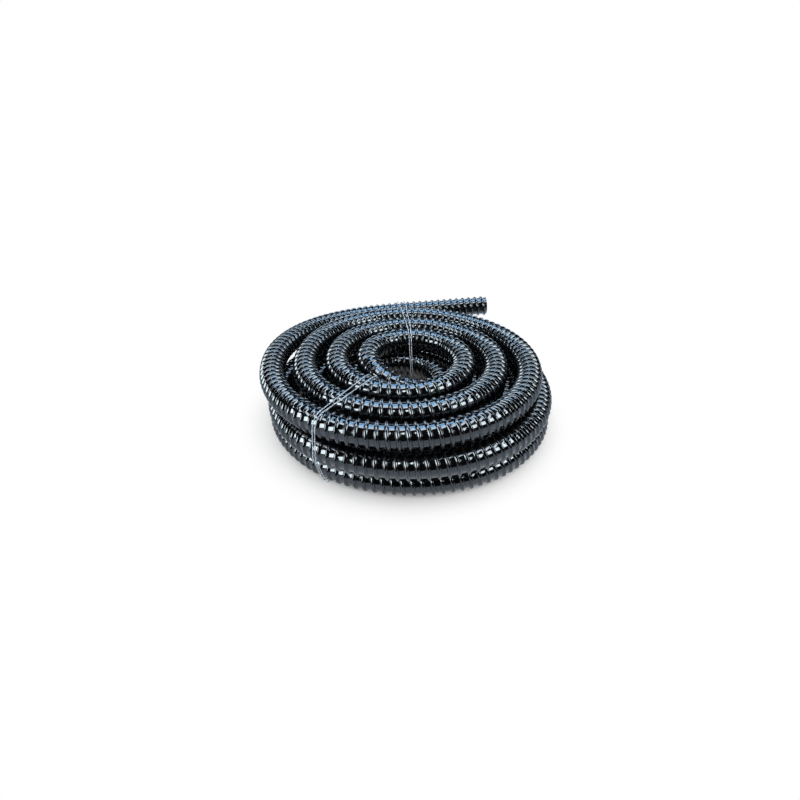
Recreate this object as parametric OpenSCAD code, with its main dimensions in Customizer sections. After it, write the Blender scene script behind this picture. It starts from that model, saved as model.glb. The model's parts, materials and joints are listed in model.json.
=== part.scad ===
// Pool vacuum hose: a ribbed hose wound flat in three layers and held by two twine ties.
// All sizes are in millimetres. The coil lies on Z = 0 and its front faces -Y.
// The free end leaves the top layer at the back and points to the right, along +X.
// The hose spirals in through the top layer, out through the middle one and in again below.

/* [Hose] */
// Bore of the hose, which slips over a fitting
bore_d = 38; // [36:0.5:39]
// Thickness of the smooth wall between the ribs
wall = 1.25; // [1:0.05:1.5]
// Height of a rib above the wall
rib_h = 4; // [2.5:0.1:4.2]
// Distance from one rib to the next along the free end
rib_pitch = 15.5; // [13:0.5:17]
// Width of a rib at its foot
rib_foot = 6.2; // [4:0.1:8]
// Width of a rib across its top
rib_top = 2.6; // [1:0.1:3.8]

/* [Coil] */
// Radius of the outermost turn where it passes the left side
outer_radius = 268.5; // [266.5:0.5:272.5]
// How much wider than that the middle layer is where it reverses at the back
overhang = 25; // [23.5:0.5:26.5]
// How far the front of the top layer bulges out of the even spiral
front_bulge = 8.5; // [0:0.5:9.5]
// Turns of the bottom layer, which set the length of the hose
bottom_turns = 2.42; // [1.5:0.01:3]
// Distance between neighbouring turns of the top and bottom layers
turn_spacing = 62.9; // [62.4:0.1:63.4]
// Clear gap between one layer and the next
layer_gap = 0.6; // [0.6:0.1:3]

/* [Free end] */
// Number of ribs on the free end
free_ribs = 10; // [6:1:12]
// How far the hose has sunk below the top layer where the free end starts
droop = 10.7; // [2:0.1:11.7]
// Slope of the free end, as its rise over its run
rise = 0.063; // [0.02:0.001:0.07]

/* [Ties] */
// Thickness of the twine
twine_d = 1.9; // [1.5:0.1:2.1]
// Direction of the front tie from the middle of the coil, in degrees from +X
front_tie_angle = 238.5; // [236:0.5:241]
// Direction of the outside of the back tie, in degrees from +X
back_tie_angle = 93; // [91:0.5:95]

/* [Hidden] */

// Counts of the modelled form: rings along one turn, every second one a rib, and sides of a ring
rings_per_turn = 24;
sides = 8;
twine_sides = 8;

// Radii of the round hose
bore_r = bore_d / 2;
wall_r = bore_r + wall;
crest_r = wall_r + rib_h;
hose_d = 2 * crest_r;

// A ring of flat sides is drawn this much larger, so that it holds the area of the round one
fullness = sqrt(2 * PI / (sides * sin(360 / sides)));

// Heights of the layers: the lowest is pressed flat on the floor by a tenth of the hose
layer_step = hose_d + layer_gap;
bottom_z = crest_r - hose_d / 10;
top_z = bottom_z + 2 * layer_step;

// The route is counted in turns, from the left side of the outermost turn of the top layer
start_turn = -0.25;
inner_turn = 3.27;
outer_turn = 6.8;

// Share of a turn in which the hose goes down one layer at each reversal
inner_climb = 0.5;
outer_climb = 0.3;

// The lower layers lie a little off the middle of the top one
middle_shift = [-10.7, -16];
bottom_shift = [17, 7.5];

// Direction of the bulge from the middle of the coil, in degrees from +X
bulge_angle = 262;

// Radii at the two ends and at the two places where the spiral reverses
start_radius = outer_radius - turn_spacing * start_turn;
inner_radius = outer_radius - turn_spacing * inner_turn;
widest_radius = outer_radius + overhang;
end_radius = widest_radius - turn_spacing * bottom_turns;
end_turn = outer_turn + bottom_turns;
middle_spacing = (widest_radius - inner_radius) / (outer_turn - inner_turn);

// Straight lengths: the free end, and one diameter of the coil at each end
free_length = free_ribs * rib_pitch;
straight_end = hose_d;

// Twine: its distance from the ribs, and how far apart the two strands of a tie lie
twine_gap = 0.3;
strands_close = twine_d + 0.8;
strands_apart = 19;

// The back tie runs this much askew, in degrees, to the inside of the coil
back_tie_skew = 17;

// A tie is laid out from this far outside the middle of the coil, round the hose this near its plane
tie_reach = start_radius + hose_d;
tie_window = 0.4 * hose_d;

hose_colour = [0.03, 0.03, 0.035];
twine_colour = [0.85, 0.88, 0.9];

function unit(v) = v / norm(v);

// Rises from 0 to 1 with a level start and end
function ease(x) =
    let (t = min(max(x, 0), 1))
    t * t * (3 - 2 * t);

// Share of one layer that the hose has gone down, round a reversal
function gone_down(turn, reversal, climb) = ease((turn - reversal) / climb + 0.5);

// A parabola over half a turn, which joins a slope that falls to one that rises
function rounded(x, falling, rising) = (falling + rising) * (x * x + 1 / 16) + (rising - falling) * x / 2;

// Steady spiral whose two reversals are rounded off
function spiral_radius(turn) =
    let (
        after_inner = turn - inner_turn,
        after_outer = turn - outer_turn
    )
    abs(after_inner) < 0.25 ? inner_radius + rounded(after_inner, turn_spacing, middle_spacing)
    : abs(after_outer) < 0.25 ? widest_radius - rounded(after_outer, middle_spacing, turn_spacing)
    : after_inner < 0 ? inner_radius - turn_spacing * after_inner
    : after_outer < 0 ? inner_radius + middle_spacing * after_inner
    : widest_radius - turn_spacing * after_outer;

// Sinking of the first quarter turn, which starts with the slope of the free end
function sinking(turn) =
    let (t = min(max(4 * (turn - start_turn), 0), 1))
    droop * (2 * pow(t, 3) - 3 * pow(t, 2) + 1)
    + rise * PI / 2 * start_radius * (pow(t, 3) - 2 * pow(t, 2) + t);

// Middle of the hose at a number of turns
function route(turn) =
    let (
        first = gone_down(turn, inner_turn, inner_climb),
        second = gone_down(turn, outer_turn, outer_climb),
        shift = middle_shift * (first - second) + bottom_shift * second,
        angle = 180 + 360 * turn,
        bulge = front_bulge * pow(max(cos(angle - bulge_angle), 0), 2) * (1 - first),
        radius = spiral_radius(turn) + bulge
    )
    [
        shift.x + radius * cos(angle),
        shift.y + radius * sin(angle),
        top_z - layer_step * (first + second) - sinking(turn)
    ];

// Directions in which the two ends leave the spiral
free_heading = unit(route(start_turn) - route(start_turn + 0.0001));
inner_heading = unit(route(end_turn) - route(end_turn - 0.0001));
coil_face = route(start_turn) + straight_end * free_heading;
inner_face = route(end_turn) + straight_end * inner_heading;

// The route with its two straight ends
function path(turn) =
    turn < start_turn ? route(start_turn) + 2 * PI * start_radius * (start_turn - turn) * free_heading
    : turn > end_turn ? route(end_turn) + 2 * PI * end_radius * (turn - end_turn) * inner_heading
    : route(turn);

// Rings of the coil: an even number of steps makes both ends of the spiral a rib
coil_steps = 2 * round((end_turn - start_turn) * rings_per_turn / 2);
turn_step = (end_turn - start_turn) / coil_steps;
spiral_points = [for (i = [0 : coil_steps]) route(start_turn + i * turn_step)];
coil_points = concat([coil_face], spiral_points, [inner_face]);
last_point = len(coil_points) - 1;

function coil_heading(i) = unit(coil_points[min(i + 1, last_point)] - coil_points[max(i - 1, 0)]);

function coil_radius(i) = i > 0 && i < last_point && i % 2 == 1 ? crest_r : wall_r;

// The hose lies on the floor, but rides over the twine where a tie passes below it
function from_tie(p, angle) = abs(((atan2(p.y, p.x) - angle) % 360 + 540) % 360 - 180);

function floor_below(p) =
    min(from_tie(p, front_tie_angle), from_tie(p, back_tie_angle)) < 500 / rings_per_turn
        ? twine_d + twine_gap
        : 0;

// One ring of points round the hose, with a side facing down, kept above a height
function ring(p, heading, radius, count, lowest) =
    let (
        side = unit(cross([0, 0, 1], heading)),
        up = cross(heading, side)
    )
    [
        for (j = [0 : count - 1])
        let (
            a = (j + 0.5) * 360 / count,
            q = p + radius * (cos(a) * side + sin(a) * up)
        )
        [q.x, q.y, max(q.z, lowest)]
    ];

outer_rings = [
    for (i = [0 : last_point])
    let (p = coil_points[i])
    each ring(p, coil_heading(i), fullness * coil_radius(i), sides, floor_below(p))
];
bore_rings = [
    for (i = [0 : last_point])
    let (p = coil_points[i])
    each ring(p, coil_heading(i), fullness * bore_r, sides, floor_below(p) + wall)
];

// Triangles between two rows of points that start at a and b; outward or inward
function band(a, b, count, inward) = [
    for (j = [0 : count - 1])
    let (k = (j + 1) % count)
    each inward
        ? [[a + j, b + k, b + j], [a + j, a + k, b + k]]
        : [[a + j, b + j, b + k], [a + j, b + k, a + k]]
];

function tube_skin(first, rows, count, inward) = [
    for (i = [0 : rows - 2])
    each band(first + i * count, first + (i + 1) * count, count, inward)
];

bore_start = len(outer_rings);
outer_last = bore_start - sides;
bore_last = 2 * bore_start - sides;

// Place of the free end's mouth
mouth = coil_face + free_length * free_heading;
free_tilt = acos(free_heading.z);
free_turn = atan2(free_heading.y, free_heading.x);

// Bottom centre of everything, which becomes the origin
coil_x = [for (p = outer_rings) p.x];
coil_y = [for (p = outer_rings) p.y];
last_rib = mouth - (rib_pitch - rib_top) / 2 * free_heading;
back_y = last_rib.y + crest_r * norm([free_heading.x, free_heading.z]);
middle = [(min(coil_x) + max(coil_x)) / 2, (min(coil_y) + max(back_y, max(coil_y))) / 2, 0];

// Points along the coil and its straight ends, for the ties and for the measured gap
samples_per_turn = 60;
first_sample = start_turn - straight_end / (2 * PI * start_radius);
last_sample = end_turn + straight_end / (2 * PI * end_radius);
spine_turns = [for (t = [first_sample : 1 / samples_per_turn : last_sample]) t];
spine = [for (t = spine_turns) path(t)];
spine_last = len(spine) - 1;

// The front tie passes outside the loop that dives to the middle layer
function under_tie(i, skip_dive) = !skip_dive || abs(spine_turns[i] - inner_turn) > 0.3;

// Near an upright plane, on this side of the middle of the coil
function at_plane(v, along) = abs(v.x * along.y - v.y * along.x) < tie_window && v * along < tie_reach;

// Hose crossings of that plane, as distance along it and height
function crossings(start, along, skip_dive) = [
    for (i = [0 : spine_last])
    let (v = [spine[i].x - start.x, spine[i].y - start.y])
    if (at_plane(v, along) && under_tie(i, skip_dive)) [v * along, spine[i].z]
];

// Furthest crossing in one direction
function furthest(points, direction) =
    let (reach = [for (p = points) p * direction])
    points[search(max(reach), reach)[0]];

// A taut strand round the crossings: points in its own upright plane, all above the floor
function strand_route(start, along, skip_dive) =
    let (
        points = crossings(start, along, skip_dive),
        away = fullness * crest_r + twine_gap + twine_d / 2
    )
    [
        for (a = [7.5 : 15 : 352.5])
        let (
            direction = [cos(a), sin(a)],
            q = furthest(points, direction) + away * direction
        )
        [start.x + q.x * along.x, start.y + q.x * along.y, max(q.y, twine_d / 2)]
    ];

// Closed loop of twine; its rings stand square to the plane of the loop
module strand(points, along) {
    count = len(points);
    level = [along.y, -along.x, 0];
    rings = [
        for (i = [0 : count - 1])
        let (
            heading = unit(points[(i + 1) % count] - points[(i + count - 1) % count]),
            out = cross(level, heading)
        )
        for (j = [0 : twine_sides - 1])
        let (a = (j + 0.5) * 360 / twine_sides)
        points[i] + twine_d / 2 * (cos(a) * level + sin(a) * out)
    ];
    faces = [
        for (i = [0 : count - 1])
        each band(i * twine_sides, (i + 1) % count * twine_sides, twine_sides, true)
    ];
    polyhedron(points = rings, faces = faces, convexity = 4);
}

// Two strands that lie close at one side of the coil and apart at the other
module tie(outer_angle, inner_angle, outer_spread, inner_spread, skip_dive) {
    outside = tie_reach * [cos(outer_angle), sin(outer_angle)];
    inside = (inner_radius - crest_r) * [cos(inner_angle), sin(inner_angle)];
    across = unit([outside.y - inside.y, inside.x - outside.x]);
    for (side = [-0.5, 0.5]) {
        start = outside + side * outer_spread * across;
        finish = inside + side * inner_spread * across;
        along = unit(finish - start);
        strand(strand_route(start, along, skip_dive), along);
    }
}

module hose_coil() {
    color(hose_colour)
    polyhedron(
        points = concat(outer_rings, bore_rings),
        faces = concat(
            tube_skin(0, last_point + 1, sides, false),
            tube_skin(bore_start, last_point + 1, sides, true),
            band(0, bore_start, sides, true),
            band(outer_last, bore_last, sides, false)
        ),
        convexity = 20
    );
}

module hose_free_end() {
    color(hose_colour)
    translate(coil_face)
    rotate([0, free_tilt, free_turn])
    rotate_extrude($fn = 64)
    polygon(concat(
        [[bore_r, 0], [wall_r, 0]],
        [
            for (i = [0 : free_ribs - 1])
            let (z = (i + 0.5) * rib_pitch)
            each [
                [wall_r, z - rib_foot / 2],
                [crest_r, z - rib_top / 2],
                [crest_r, z + rib_top / 2],
                [wall_r, z + rib_foot / 2]
            ]
        ],
        [[wall_r, free_length], [bore_r, free_length]]
    ));
}

module front_tie() {
    color(twine_colour)
    tie(front_tie_angle, front_tie_angle, strands_close, strands_apart, true);
}

module back_tie() {
    color(twine_colour)
    tie(back_tie_angle, back_tie_angle - back_tie_skew, strands_apart, strands_close, false);
}

// Least gap of the hose to itself, between points at least a third of a turn apart
apart = round(samples_per_turn / 3);
gaps = [
    for (i = [0 : spine_last - apart])
    min([for (j = [i + apart : spine_last]) norm(spine[i] - spine[j])]) - hose_d
];
steps = [for (i = [1 : spine_last]) norm(spine[i] - spine[i - 1])];
function total(list) = list * [for (x = list) 1];
echo(least_gap_of_hose_to_itself = min(gaps));
echo(length_along_the_route = total(steps) + free_length);
echo(turns_in_all = end_turn - start_turn);
echo(mouth = mouth - middle, heading = free_heading);

translate(-middle) {
    hose_coil();
    hose_free_end();
    front_tie();
    back_tie();
}
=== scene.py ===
# Coiled vacuum hose for pools, dressed for its picture.
# Everything is in metres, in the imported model's frame: +Z is up, the front faces -Y and the floor is Z = 0.
# The hose is one tube with a helical rib, carried along the same route as the solids.

import json

import bpy
import numpy as np
from mathutils import Matrix


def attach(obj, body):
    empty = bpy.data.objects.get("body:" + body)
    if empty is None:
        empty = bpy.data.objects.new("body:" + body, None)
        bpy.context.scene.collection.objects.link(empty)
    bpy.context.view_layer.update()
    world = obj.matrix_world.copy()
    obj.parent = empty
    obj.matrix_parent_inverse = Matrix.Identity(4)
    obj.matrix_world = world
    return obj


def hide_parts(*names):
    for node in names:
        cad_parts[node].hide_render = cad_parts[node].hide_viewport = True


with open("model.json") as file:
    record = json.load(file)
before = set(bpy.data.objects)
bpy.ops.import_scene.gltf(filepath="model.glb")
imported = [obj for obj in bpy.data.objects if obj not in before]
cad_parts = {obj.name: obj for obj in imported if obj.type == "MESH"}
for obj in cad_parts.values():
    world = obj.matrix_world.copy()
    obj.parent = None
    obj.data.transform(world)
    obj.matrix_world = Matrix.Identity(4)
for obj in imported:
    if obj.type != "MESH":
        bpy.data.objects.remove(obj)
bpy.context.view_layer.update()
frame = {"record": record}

# Sizes of the hose, as in the part's source
MM = 0.001
BORE_RADIUS = 19 * MM
WALL_RADIUS = BORE_RADIUS + 1.25 * MM
RIB_HEIGHT = 4 * MM
CREST_RADIUS = WALL_RADIUS + RIB_HEIGHT
HOSE_DIAMETER = 2 * CREST_RADIUS
RIB_PITCH = 15.5 * MM

# Section of the rib, more pointed than in the part's source: widths from top to foot and shares of its height
RIB_WIDTHS = np.array([1.2, 6.0, 7.8]) * MM
RIB_LEVELS = np.array([1, 0.5, 0.06])

# Sizes of the coil, as in the part's source
OUTER_RADIUS = 268.5 * MM
WIDEST_RADIUS = OUTER_RADIUS + 25 * MM
TURN_SPACING = 62.9 * MM
LAYER_STEP = HOSE_DIAMETER + 0.6 * MM
PRESSED_FLAT = HOSE_DIAMETER / 10
BOTTOM_HEIGHT = CREST_RADIUS - PRESSED_FLAT
TOP_HEIGHT = BOTTOM_HEIGHT + 2 * LAYER_STEP
START_TURN = -0.25
INNER_TURN = 3.27
OUTER_TURN = 6.8
INNER_CLIMB = 0.5
OUTER_CLIMB = 0.3
MIDDLE_SHIFT = np.array([-10.7, -16]) * MM
BOTTOM_SHIFT = np.array([17, 7.5]) * MM
BOTTOM_TURNS = 2.42
FRONT_BULGE = 8.5 * MM
BULGE_ANGLE = np.radians(262)
FREE_LENGTH = 10 * RIB_PITCH
STRAIGHT_END = HOSE_DIAMETER
DROOP = 10.7 * MM
RISE = 0.063

# Radii and turns that follow from them
START_RADIUS = OUTER_RADIUS - TURN_SPACING * START_TURN
INNER_RADIUS = OUTER_RADIUS - TURN_SPACING * INNER_TURN
MIDDLE_SPACING = (WIDEST_RADIUS - INNER_RADIUS) / (OUTER_TURN - INNER_TURN)
END_TURN = OUTER_TURN + BOTTOM_TURNS

# Numbers of points along the straight free end, the spiral and the hidden straight end
FREE_POINTS = 200
SPIRAL_POINTS = 12000
INNER_POINTS = 60

# Twine: its radius, distance from one ply to the next, how far the plies stand out as a share, and steps
TWINE_RADIUS = 0.95 * MM
TWINE_LAY = 7 * MM
TWINE_LOBE = 0.12
TWINE_STEP = 1 * MM

# Ties: directions from the middle of the coil in degrees, and spread of the two strands
FRONT_TIE_ANGLE = 238.5
BACK_TIE_ANGLE = 93
BACK_TIE_SKEW = 17
STRANDS_CLOSE = 2 * TWINE_RADIUS + 0.8 * MM
STRANDS_APART = 19 * MM
TIE_REACH = START_RADIUS + HOSE_DIAMETER

# A tie goes round the hose this near its plane, and may skip the turns round the dive
TIE_WINDOW = 12 * MM
DIVE_TURNS = 0.3

# Steps in turns at which a tie looks for the hose, from before the spiral's start to past its end
CROSSING_STEP = 1 / 240
TURNS_BEFORE = 0.02
TURNS_PAST = 0.05

# Dents in the underside of the hose, where it lies on the twine: depth, half width and sloping ends
DENT_DEPTH = 2 * TWINE_RADIUS + 0.1 * MM
DENT_HALF_WIDTH = 5 * MM
DENT_SLOPE = 6 * MM

# Camera, fitted to the photograph: tilt, distance, shifts of its aim to the left and front, sensor and lens
CAMERA_TILT = np.radians(32.51)
CAMERA_DISTANCE = 16.529 * HOSE_DIAMETER
CAMERA_LEFT = 0.327 * HOSE_DIAMETER
CAMERA_FRONT = 3.189 * HOSE_DIAMETER
SENSOR_WIDTH = 36
LENS_LENGTH = 20.7

# Floor: half its width, and the distances from the middle between which its shadow gives way to plain white
FLOOR_HALF = 8
SHADOW_FROM = 0.24
SHADOW_TO = 0.38


def unit(vectors):
    """Each vector divided by its length."""
    return vectors / np.linalg.norm(vectors, axis=-1, keepdims=True)


def ease(x):
    """A cubic that rises from 0 to 1 with a level start and end."""
    t = np.clip(x, 0, 1)
    return t * t * (3 - 2 * t)


def gone_down(turn, reversal, climb):
    """Share of one layer that the hose has gone down, round a reversal."""
    return ease((turn - reversal) / climb + 0.5)


def rounded(x, falling, rising):
    """A parabola over half a turn, which joins a slope that falls to one that rises."""
    return (falling + rising) * (x * x + 1 / 16) + (rising - falling) * x / 2


def spiral_radius(turn):
    """Steady spiral in, out and in again, with both reversals rounded off."""
    after_inner = turn - INNER_TURN
    after_outer = turn - OUTER_TURN
    return np.select(
        [np.abs(after_inner) < 0.25, np.abs(after_outer) < 0.25, after_inner < 0, after_outer < 0],
        [
            INNER_RADIUS + rounded(after_inner, TURN_SPACING, MIDDLE_SPACING),
            WIDEST_RADIUS - rounded(after_outer, MIDDLE_SPACING, TURN_SPACING),
            INNER_RADIUS - TURN_SPACING * after_inner,
            INNER_RADIUS + MIDDLE_SPACING * after_inner,
        ],
        WIDEST_RADIUS - TURN_SPACING * after_outer,
    )


def sinking(turn):
    """Cubic by which the first quarter turn hangs lower, starting with the slope of the free end."""
    t = np.clip(4 * (turn - START_TURN), 0, 1)
    hang = DROOP * (2 * t**3 - 3 * t**2 + 1)
    slope = RISE * np.pi / 2 * START_RADIUS * (t**3 - 2 * t**2 + t)
    return hang + slope


def route(turn):
    """Middle of the hose at a number of turns: a spiral in plan, a step down at each reversal.

    The top layer bulges at the front, with the square of the cosine of the angle from there.
    """
    first = gone_down(turn, INNER_TURN, INNER_CLIMB)
    second = gone_down(turn, OUTER_TURN, OUTER_CLIMB)
    angle = np.pi + 2 * np.pi * turn
    bulge = FRONT_BULGE * np.maximum(np.cos(angle - BULGE_ANGLE), 0) ** 2 * (1 - first)
    radius = spiral_radius(turn) + bulge
    x = radius * np.cos(angle) + MIDDLE_SHIFT[0] * (first - second) + BOTTOM_SHIFT[0] * second
    y = radius * np.sin(angle) + MIDDLE_SHIFT[1] * (first - second) + BOTTOM_SHIFT[1] * second
    z = TOP_HEIGHT - LAYER_STEP * (first + second) - sinking(turn)
    return np.stack([x, y, z], axis=-1)


def hose_line():
    """Points close together from the mouth to the hidden end: a straight, the spiral and a straight.

    Also gives how far along the hose each point is, and its share of the bottom layer's flatness.
    """
    turns = np.linspace(START_TURN, END_TURN, SPIRAL_POINTS)
    spiral = route(turns)
    short_way = 0.0001
    free_heading = unit(spiral[0] - route(START_TURN + short_way))
    inner_heading = unit(spiral[-1] - route(END_TURN - short_way))
    free = spiral[0] + np.linspace(FREE_LENGTH + STRAIGHT_END, 0, FREE_POINTS)[:-1, None] * free_heading
    inner = spiral[-1] + np.linspace(0, STRAIGHT_END, INNER_POINTS)[1:, None] * inner_heading
    points = np.concatenate([free, spiral, inner])
    flatness = gone_down(turns, OUTER_TURN, OUTER_CLIMB)
    flatness = np.concatenate([np.zeros(len(free)), flatness, np.ones(len(inner))])
    steps = np.linalg.norm(np.diff(points, axis=0), axis=1)
    along = np.concatenate([[0], np.cumsum(steps)])
    return points, along, flatness


# The record's mouth ties the route to the frame, whose origin is the middle of the model's box
line, line_along, line_flatness = hose_line()
mouth = np.array(frame["record"]["mounts"][0]["pos_m"])
COIL_MIDDLE = np.array([mouth[0] - line[0, 0], mouth[1] - line[0, 1], 0])
line = line + COIL_MIDDLE
line_heading = unit(np.gradient(line, line_along, axis=0))
MADE_LENGTH = line_along[-1]


def between(places, marks, points):
    """Points at places between marked points in space, in even steps from one to the next."""
    return np.stack([np.interp(places, marks, points[:, k]) for k in range(3)], axis=-1)


def around_hose(along, angle, radius):
    """Points round the hose, at a distance along it, an angle round it and a radius.

    The bottom layer's lower half is pressed flat by a fifth of its depth, as it lies on the floor.
    """
    middle = between(along, line_along, line)
    heading = unit(between(along, line_along, line_heading))
    side = unit(np.cross([0, 0, 1], heading))
    up = np.cross(heading, side)
    rise = radius * np.sin(angle)
    pressed = PRESSED_FLAT / CREST_RADIUS * np.interp(along, line_along, line_flatness)
    rise = np.where(rise < 0, rise * (1 - pressed), rise)
    return middle + (radius * np.cos(angle))[..., None] * side + rise[..., None] * up


def tie_strands(outer_angle, inner_angle, outer_spread, inner_spread):
    """Start outside the coil and level heading of a tie's two strands, which lie apart at one side of it."""
    outer_angle = np.radians(outer_angle)
    inner_angle = np.radians(inner_angle)
    outside = TIE_REACH * np.array([np.cos(outer_angle), np.sin(outer_angle)])
    inside = (INNER_RADIUS - CREST_RADIUS) * np.array([np.cos(inner_angle), np.sin(inner_angle)])
    across = unit(np.array([outside[1] - inside[1], inside[0] - outside[0]]))
    strands = []
    for side in (-0.5, 0.5):
        start = COIL_MIDDLE[:2] + outside + side * outer_spread * across
        finish = COIL_MIDDLE[:2] + inside + side * inner_spread * across
        strands.append((start, unit(finish - start)))
    return strands


FRONT_STRANDS = tie_strands(FRONT_TIE_ANGLE, FRONT_TIE_ANGLE, STRANDS_CLOSE, STRANDS_APART)
BACK_STRANDS = tie_strands(BACK_TIE_ANGLE, BACK_TIE_ANGLE - BACK_TIE_SKEW, STRANDS_APART, STRANDS_CLOSE)


def dented(points):
    """Points kept above the twine where a strand passes below the coil, in a dent with sloping ends."""
    height = points[:, 2]
    for start, heading in FRONT_STRANDS + BACK_STRANDS:
        level = points[:, :2] - start
        aside = np.abs(level @ np.array([heading[1], -heading[0]]))
        dent = DENT_DEPTH * (1 - ease((aside - DENT_HALF_WIDTH) / DENT_SLOPE))
        height = np.where(level @ heading < TIE_REACH, np.maximum(height, dent), height)
    return np.column_stack([points[:, :2], height])


def split_quads(a, b, c, d):
    """Two triangles for each quad of corners a, b, c, d."""
    first = np.stack([a, b, c], axis=-1).reshape(-1, 3)
    second = np.stack([a, c, d], axis=-1).reshape(-1, 3)
    return np.concatenate([first, second])


def add_piece(name, points, triangles, material, values=None, creases=None):
    """A smooth mesh of triangles on the object's own body, with optional numbers at each point.

    Values become attributes, and an edge is sharp where both its points have the same crease number.
    """
    used, places = np.unique(triangles, return_inverse=True)
    triangles = places.reshape(-1, 3)
    points = points[used]
    mesh = bpy.data.meshes.new(name)
    mesh.vertices.add(len(points))
    mesh.vertices.foreach_set("co", points.astype(np.float32).ravel())
    mesh.loops.add(3 * len(triangles))
    mesh.loops.foreach_set("vertex_index", triangles.astype(np.int32).ravel())
    mesh.polygons.add(len(triangles))
    mesh.polygons.foreach_set("loop_start", np.arange(0, 3 * len(triangles), 3, dtype=np.int32))
    mesh.update(calc_edges=True)
    mesh.validate()
    mesh.shade_smooth()
    for label, numbers in (values or {}).items():
        layer = mesh.attributes.new(label, "FLOAT", "POINT")
        layer.data.foreach_set("value", numbers[used].astype(np.float32))
    if creases is not None:
        ends = np.empty(2 * len(mesh.edges), dtype=np.int32)
        mesh.edges.foreach_get("vertices", ends)
        numbers = creases[used][ends.reshape(-1, 2)]
        layer = mesh.attributes.new("sharp_edge", "BOOLEAN", "EDGE")
        layer.data.foreach_set("value", numbers[:, 0] == numbers[:, 1])
    mesh.materials.append(material)
    piece = bpy.data.objects.new(name, mesh)
    bpy.context.scene.collection.objects.link(piece)
    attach(piece, "root")
    return piece


def linear_colour(hex_code):
    """Linear colour with alpha 1 from an sRGB hex code."""
    channels = np.array([int(hex_code[i : i + 2], 16) for i in (1, 3, 5)]) / 255
    linear = np.where(channels <= 0.04045, channels / 12.92, ((channels + 0.055) / 1.055) ** 2.4)
    return (*linear.tolist(), 1.0)


def add_node(tree, kind, inputs=None, **settings):
    """A shader node with its settings; an input is a plain value or the socket that feeds it."""
    node = tree.nodes.new(kind)
    for label, value in settings.items():
        setattr(node, label, value)
    for label, value in (inputs or {}).items():
        if isinstance(value, bpy.types.NodeSocket):
            tree.links.new(value, node.inputs[label])
        else:
            node.inputs[label].default_value = value
    return node


def add_math(tree, operation, *values):
    """The result of an arithmetic node on plain values or sockets."""
    return add_node(tree, "ShaderNodeMath", dict(enumerate(values)), operation=operation).outputs[0]


def add_noise(tree, scale, detail):
    """Soft noise fixed to the object, with a number of waves in a metre."""
    place = add_node(tree, "ShaderNodeTexCoord").outputs["Object"]
    inputs = {"Vector": place, "Scale": scale, "Detail": detail}
    return add_node(tree, "ShaderNodeTexNoise", inputs).outputs["Fac"]


def add_blend(tree, share, first, second):
    """A blend of two sRGB hex colours."""
    inputs = {"Factor": share, "A": linear_colour(first), "B": linear_colour(second)}
    return add_node(tree, "ShaderNodeMix", inputs, data_type="RGBA").outputs[2]


def new_material(name):
    """An empty node material with its output."""
    material = bpy.data.materials.new(name)
    material.use_nodes = True
    tree = material.node_tree
    tree.nodes.clear()
    return material, tree, tree.nodes.new("ShaderNodeOutputMaterial")


def glossy_black_vinyl():
    """Extruded black PVC: a wet-looking gloss, faint waves from the die, and ribs dulled where they rub."""
    material, tree, output = new_material("Extruded black PVC, glossy")
    rib = add_node(tree, "ShaderNodeAttribute", attribute_name="rib").outputs["Fac"]
    # Haze of handling in patches about 40 mm wide
    haze = add_noise(tree, 25.0, 3.0)
    # Scuffs about 3 mm long, which show on the tops of the ribs
    scuffs = add_noise(tree, 330.0, 2.0)
    rubbed = add_math(tree, "MULTIPLY", rib, scuffs)
    colour = add_blend(tree, rubbed, "#070708", "#121316")
    gloss = add_node(
        tree,
        "ShaderNodeMapRange",
        {"Value": haze, "From Min": 0.3, "From Max": 0.7, "To Min": 0.07, "To Max": 0.14},
    ).outputs["Result"]
    rubbed_dullness = 0.06
    roughness = add_math(tree, "MULTIPLY_ADD", rubbed, rubbed_dullness, gloss)
    # Waves of the die about 6 mm apart and a few hundredths of a millimetre high
    waves = add_noise(tree, 160.0, 1.0)
    bump = add_node(tree, "ShaderNodeBump", {"Height": waves, "Strength": 0.5, "Distance": 0.2 * MM})
    shader = add_node(
        tree,
        "ShaderNodeBsdfPrincipled",
        {
            "Base Color": colour,
            "Roughness": roughness,
            "IOR": 1.53,
            "Coat Weight": 0.7,
            "Coat Roughness": 0.04,
            "Coat IOR": 1.5,
            "Normal": bump.outputs["Normal"],
        },
    )
    tree.links.new(shader.outputs["BSDF"], output.inputs["Surface"])
    return material


def clear_twine():
    """Drawn polypropylene twine: milky and about half see-through, so that the dark hose dims it."""
    material, tree, output = new_material("Drawn polypropylene twine, milky")
    # Mottle about 1 mm across where the plies were drawn
    mottle = add_noise(tree, 1000.0, 2.0)
    colour = add_blend(tree, mottle, "#c6d4e2", "#f2f7fb")
    bump = add_node(tree, "ShaderNodeBump", {"Height": mottle, "Strength": 0.3, "Distance": 0.1 * MM})
    shader = add_node(
        tree,
        "ShaderNodeBsdfPrincipled",
        {
            "Base Color": colour,
            "Roughness": 0.2,
            "IOR": 1.49,
            "Transmission Weight": 0.55,
            "Normal": bump.outputs["Normal"],
        },
    )
    tree.links.new(shader.outputs["BSDF"], output.inputs["Surface"])
    return material


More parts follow.
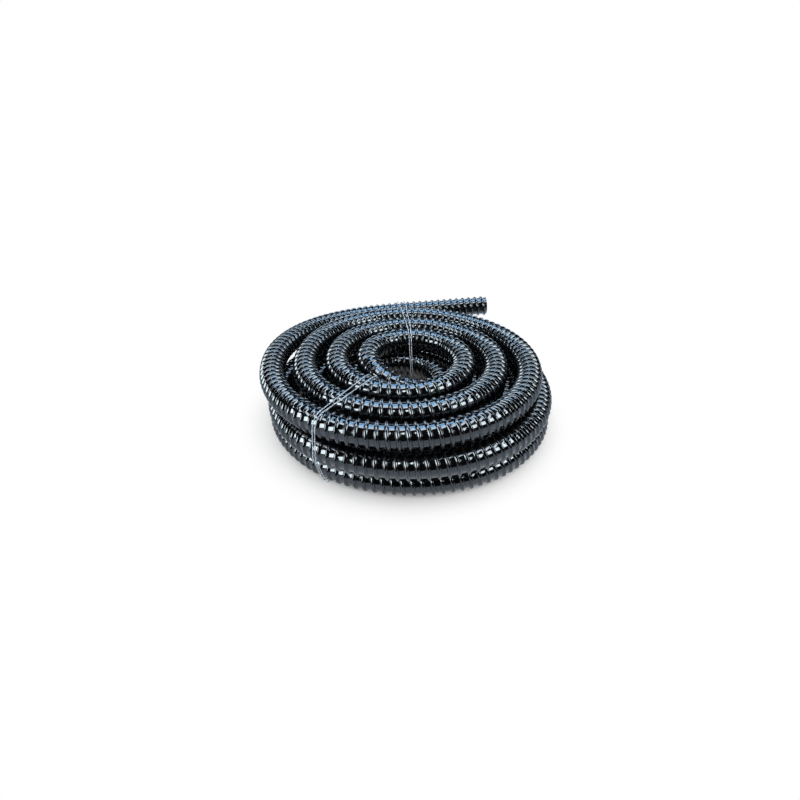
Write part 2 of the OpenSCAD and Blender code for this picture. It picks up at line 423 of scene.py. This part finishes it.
def add_camera():
    """The photograph's view: from the front, about a third of a right angle down, close and wide."""
    data = bpy.data.cameras.new("photo_view")
    data.sensor_fit = "HORIZONTAL"
    data.sensor_width = SENSOR_WIDTH
    data.lens = LENS_LENGTH
    camera = bpy.data.objects.new("photo_view", data)
    camera.location = (
        COIL_MIDDLE[0] - CAMERA_LEFT,
        COIL_MIDDLE[1] - CAMERA_FRONT - CAMERA_DISTANCE * np.cos(CAMERA_TILT),
        TOP_HEIGHT + CAMERA_DISTANCE * np.sin(CAMERA_TILT),
    )
    camera.rotation_euler = (np.pi / 2 - CAMERA_TILT, 0, 0)
    bpy.context.scene.collection.objects.link(camera)
    bpy.context.scene.camera = camera


def add_hose(material):
    """The hose, as a wall with a helical rib outside and a round bore inside, closed at both cut ends.

    The rows of the outer grid lean with the helix: a row's distance along the hose grows by one rib
    pitch in going round, where it meets the row one rib further on. Six rows make each rib, from its foot
    over its narrow top to its foot again, and one row the middle of the plain wall before it. The rib runs
    up to both cuts, where it is cut square.
    """
    sides = 16
    half_rib = RIB_WIDTHS / 2
    offsets = np.concatenate([[-RIB_PITCH / 2], -half_rib[::-1], half_rib])
    heights = np.concatenate([[0], RIB_LEVELS[::-1], RIB_LEVELS])
    # Ribs to spare at both ends, because the rows lean
    ribs = int(MADE_LENGTH / RIB_PITCH) + 4
    rows = len(offsets) * ribs
    row_along = ((np.arange(ribs) - 1.5)[:, None] * RIB_PITCH + offsets).ravel()
    column = np.arange(sides)
    raw = row_along[:, None] + RIB_PITCH * column / sides
    along = np.clip(raw, 0, MADE_LENGTH)
    angle = np.broadcast_to(2 * np.pi * column / sides, along.shape)
    rib = np.interp(along - RIB_PITCH * (column / sides + 0.5), offsets, heights, period=RIB_PITCH)
    outer = dented(around_hose(along, angle, WALL_RADIUS + RIB_HEIGHT * rib).reshape(-1, 3))

    # Rows past an end are folded on to the last one there
    first_row = (raw <= 0).sum(axis=0) - 1
    last_row = (raw < MADE_LENGTH).sum(axis=0)

    def corner(row, place):
        """Number of the point at a row and a column, where the column past the last is a rib further on."""
        wrapped = place % sides
        row = row + len(offsets) * (place // sides)
        row = np.clip(row, first_row[wrapped], last_row[wrapped])
        return row * sides + wrapped

    row, place = np.meshgrid(np.arange(rows - 1), column, indexing="ij")
    skin = split_quads(
        corner(row, place),
        corner(row, place + 1),
        corner(row + 1, place + 1),
        corner(row + 1, place),
    )

    bore_rows = int(MADE_LENGTH / RIB_PITCH)
    bore_row_along = np.linspace(0, MADE_LENGTH, bore_rows)
    bore_along, bore_angle = np.meshgrid(bore_row_along, 2 * np.pi * column / sides, indexing="ij")
    bore = around_hose(bore_along, bore_angle, np.full(bore_along.shape, BORE_RADIUS)).reshape(-1, 3)
    first_bore = rows * sides
    row, place = np.meshgrid(np.arange(bore_rows - 1), column, indexing="ij")
    beside = (place + 1) % sides
    at = first_bore + row * sides
    lining = split_quads(at + place, at + sides + place, at + sides + beside, at + beside)

    beside = (column + 1) % sides
    start_rim = first_row[column] * sides + column
    end_rim = last_row[column] * sides + column
    start_bore = first_bore + column
    end_bore = first_bore + (bore_rows - 1) * sides + column
    start_cut = split_quads(start_rim, start_bore, start_bore[beside], start_rim[beside])
    end_cut = split_quads(end_rim, end_rim[beside], end_bore[beside], end_bore)

    # Triangles of the folded rows have a corner twice and are left out
    triangles = np.concatenate([skin, lining, start_cut, end_cut])
    whole = np.all(triangles != np.roll(triangles, 1, axis=1), axis=1)
    points = np.concatenate([outer, bore])
    values = {"rib": np.concatenate([rib.ravel(), np.zeros(len(bore))])}
    # The rims of both cuts are sharp, and so are the two edges where a rib meets the plain wall
    grid = np.arange(first_bore).reshape(rows, sides)
    feet = [grid[1 :: len(offsets)], grid[len(offsets) - 1 :: len(offsets)]]
    edges = [*feet, start_rim, end_rim, start_bore, end_bore]
    creases = np.arange(len(points)) + len(edges)
    for number, edge in enumerate(edges):
        creases[edge] = number
    piece = add_piece("ribbed_hose", points, triangles[whole], material, values, creases)
    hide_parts("hose_coil", "hose_free_end")


def taut_loop(start, heading, skip_dive):
    """A strand pulled tight round the hose in one upright plane.

    In each direction, the crossing that reaches furthest holds the strand off by the hose's radius.
    The loop stays above the floor, and its points are spread evenly along it.
    """
    turns = np.arange(START_TURN - TURNS_BEFORE, END_TURN + TURNS_PAST, CROSSING_STEP)
    spiral = line[FREE_POINTS - 1 : 1 - INNER_POINTS]
    spine = between(turns, np.linspace(START_TURN, END_TURN, SPIRAL_POINTS), spiral)
    level = spine[:, :2] - start
    forward = level @ heading
    aside = level @ np.array([heading[1], -heading[0]])
    kept = (np.abs(aside) < TIE_WINDOW) & (forward < TIE_REACH)
    if skip_dive:
        kept &= np.abs(turns - INNER_TURN) > DIVE_TURNS
    crossings = np.stack([forward[kept], spine[kept, 2]], axis=-1)
    step = 3
    angles = np.radians(np.arange(0, 360, step) + step / 2)
    directions = np.stack([np.cos(angles), np.sin(angles)], axis=-1)
    furthest = crossings[np.argmax(directions @ crossings.T, axis=1)]
    loop = furthest + (CREST_RADIUS + TWINE_RADIUS) * directions
    loop[:, 1] = np.maximum(loop[:, 1], TWINE_RADIUS)
    points = np.column_stack([start + loop[:, :1] * heading, loop[:, 1]])
    closed = np.concatenate([points, points[:1]])
    reach = np.concatenate([[0], np.cumsum(np.linalg.norm(np.diff(closed, axis=0), axis=1))])
    even = np.arange(0, reach[-1], reach[-1] / round(reach[-1] / TWINE_STEP))
    return between(even, reach, closed), even


def twine_surface(points, along, heading):
    """A twine of two plies: a round profile with two lobes, which turn steadily along a closed loop."""
    sides = 10
    level = np.array([heading[1], -heading[0], 0])
    forward = unit(np.roll(points, -1, axis=0) - np.roll(points, 1, axis=0))
    outward = np.cross(level, forward)
    angle = 2 * np.pi * np.arange(sides) / sides
    twist = 2 * np.pi * np.round(along[-1] / TWINE_LAY) * along / (along[-1] + along[1])
    radius = TWINE_RADIUS * (1 - TWINE_LOBE + TWINE_LOBE * np.cos(2 * angle - twist[:, None]))
    surface = (
        points[:, None]
        + (radius * np.cos(angle))[..., None] * level
        + (radius * np.sin(angle))[..., None] * outward[:, None]
    )
    row, place = np.meshgrid(np.arange(len(points)), np.arange(sides), indexing="ij")
    after = (row + 1) % len(points) * sides
    beside = (place + 1) % sides
    triangles = split_quads(row * sides + place, after + place, after + beside, row * sides + beside)
    return surface.reshape(-1, 3), triangles


def add_tie(name, node, strands, skip_dive, material):
    """Two strands of twine that lie close at one side of the coil and apart at the other."""
    points = []
    triangles = []
    for start, heading in strands:
        loop, along = taut_loop(start, heading, skip_dive)
        strand_points, strand_triangles = twine_surface(loop, along, heading)
        triangles.append(strand_triangles + sum(len(p) for p in points))
        points.append(strand_points)
    piece = add_piece(name, np.concatenate(points), np.concatenate(triangles), material)
    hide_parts(node)


def add_floor():
    """A pale floor that takes the shadow near the hose and is plain white further off."""
    material, tree, output = new_material("Pale studio floor, matt")
    place = add_node(tree, "ShaderNodeTexCoord").outputs["Object"]
    distance = add_node(tree, "ShaderNodeVectorMath", {0: place}, operation="LENGTH").outputs["Value"]
    far = add_node(
        tree,
        "ShaderNodeMapRange",
        {"Value": distance, "From Min": SHADOW_FROM, "From Max": SHADOW_TO},
        interpolation_type="SMOOTHSTEP",
    ).outputs["Result"]
    light = add_node(tree, "ShaderNodeLightPath").outputs
    seen = add_math(tree, "MAXIMUM", light["Is Camera Ray"], light["Is Glossy Ray"])
    seen = add_math(tree, "MAXIMUM", seen, light["Is Transmission Ray"])
    share = add_math(tree, "MULTIPLY", seen, far)
    matt = add_node(tree, "ShaderNodeBsdfDiffuse", {"Color": linear_colour("#fafafa")})
    # In the gloss of the hose the white is slightly cool
    colour = add_blend(tree, light["Is Glossy Ray"], "#ffffff", "#dcedff")
    white = add_node(tree, "ShaderNodeEmission", {"Color": colour, "Strength": 1.0})
    mixed = add_node(tree, "ShaderNodeMixShader", {0: share, 1: matt.outputs[0], 2: white.outputs[0]})
    tree.links.new(mixed.outputs[0], output.inputs["Surface"])
    mesh = bpy.data.meshes.new("studio_floor")
    corners = [(x * FLOOR_HALF, y * FLOOR_HALF, 0) for x, y in ((-1, -1), (1, -1), (1, 1), (-1, 1))]
    mesh.from_pydata(corners, [], [(0, 1, 2, 3)])
    mesh.materials.append(material)
    floor = bpy.data.objects.new("studio_floor", mesh)
    bpy.context.scene.collection.objects.link(floor)


def add_softbox(name, azimuth, elevation, distance, width, height, radiance, tint, seen_in_gloss):
    """A rectangular lamp that faces the coil, placed by its direction in degrees and its distance in metres.

    It is either only mirrored in glossy surfaces or it lights only matt ones.
    """
    data = bpy.data.lights.new(name, "AREA")
    data.shape = "RECTANGLE"
    data.size = width
    data.size_y = height
    data.color = linear_colour(tint)[:3]
    data.energy = np.pi * width * height * radiance
    lamp = bpy.data.objects.new(name, data)
    turn = np.radians(azimuth)
    lift = np.radians(elevation)
    away = np.array([np.cos(lift) * np.cos(turn), np.cos(lift) * np.sin(turn), np.sin(lift)])
    across = np.array([-np.sin(turn), np.cos(turn), 0])
    place = np.eye(4)
    place[:3] = np.stack([across, np.cross(away, across), away, distance * away], axis=1)
    lamp.matrix_world = Matrix(place.tolist())
    lamp.visible_glossy = seen_in_gloss
    lamp.visible_diffuse = not seen_in_gloss
    bpy.context.scene.collection.objects.link(lamp)


def add_light():
    """Even light from above for matt surfaces, lamps that are mirrored in the gloss, and the surroundings.

    Mirrored are cool panels over and behind the coil, a small lamp high in front, a lamp at each side of the
    front and a window at each side of the back.
    """
    # Name, azimuth, elevation, distance, width, height, radiance, tint and whether it is the mirrored kind
    add_softbox("even_light", 270, 80, 2.2, 3.0, 3.0, 1.6, "#ffffff", False)
    add_softbox("cool_panel_above", 90, 88, 1.6, 4.0, 0.4, 10.0, "#d6e8f8", True)
    add_softbox("cool_panel_high", 90, 66, 5.0, 3.0, 1.0, 13.5, "#94c4f0", True)
    add_softbox("cool_panel_behind", 90, 48, 5.0, 2.4, 1.6, 6.6, "#94c4f0", True)
    add_softbox("ceiling_lamp", 270, 59, 1.4, 0.12, 0.3, 16.0, "#e8f8ff", True)
    add_softbox("left_lamp", 208, 20, 1.4, 1.0, 0.6, 13.0, "#e8f8ff", True)
    add_softbox("right_lamp", 334, 34, 1.4, 0.7, 0.45, 12.0, "#e8f8ff", True)
    add_softbox("left_window", 126, 22, 3.0, 1.2, 1.7, 4.0, "#b8d8f6", True)
    add_softbox("right_window", 54, 22, 3.0, 1.2, 1.7, 4.0, "#b8d8f6", True)
    world = bpy.data.worlds.new("studio")
    world.use_nodes = True
    bpy.context.scene.world = world
    tree = world.node_tree
    tree.nodes.clear()
    output = tree.nodes.new("ShaderNodeOutputWorld")
    light = add_node(tree, "ShaderNodeLightPath").outputs
    # In the gloss, the white background stands low behind the coil at half strength, in a room that is dark
    mirrored_white = 0.5
    dark_room = 0.005
    ambient_level = 0.62
    direction = add_node(tree, "ShaderNodeTexCoord").outputs["Generated"]
    direction = add_node(tree, "ShaderNodeSeparateXYZ", {0: direction}).outputs
    behind = add_node(
        tree,
        "ShaderNodeMapRange",
        {"Value": direction["Y"], "From Min": 0.5, "From Max": 0.95, "To Max": mirrored_white},
        interpolation_type="SMOOTHSTEP",
    ).outputs["Result"]
    backdrop = add_node(
        tree,
        "ShaderNodeMapRange",
        {"Value": direction["Z"], "From Min": 0.05, "From Max": 0.2, "To Min": behind, "To Max": dark_room},
        interpolation_type="SMOOTHSTEP",
    ).outputs["Result"]
    mirrored = add_math(tree, "MAXIMUM", light["Is Glossy Ray"], light["Is Transmission Ray"])
    surround = add_math(tree, "MULTIPLY", mirrored, backdrop)
    seen = add_math(tree, "MAXIMUM", light["Is Camera Ray"], surround)
    ambient = add_math(tree, "MULTIPLY", light["Is Diffuse Ray"], ambient_level)
    strength = add_math(tree, "MAXIMUM", seen, ambient)
    background = add_node(tree, "ShaderNodeBackground", {"Color": (1, 1, 1, 1), "Strength": strength})
    tree.links.new(background.outputs[0], output.inputs["Surface"])
    bpy.context.scene.view_settings.view_transform = "Standard"


add_camera()
add_hose(glossy_black_vinyl())
twine = clear_twine()
add_tie("front_twine", "front_tie", FRONT_STRANDS, True, twine)
add_tie("back_twine", "back_tie", BACK_STRANDS, False, twine)
add_floor()
add_light()
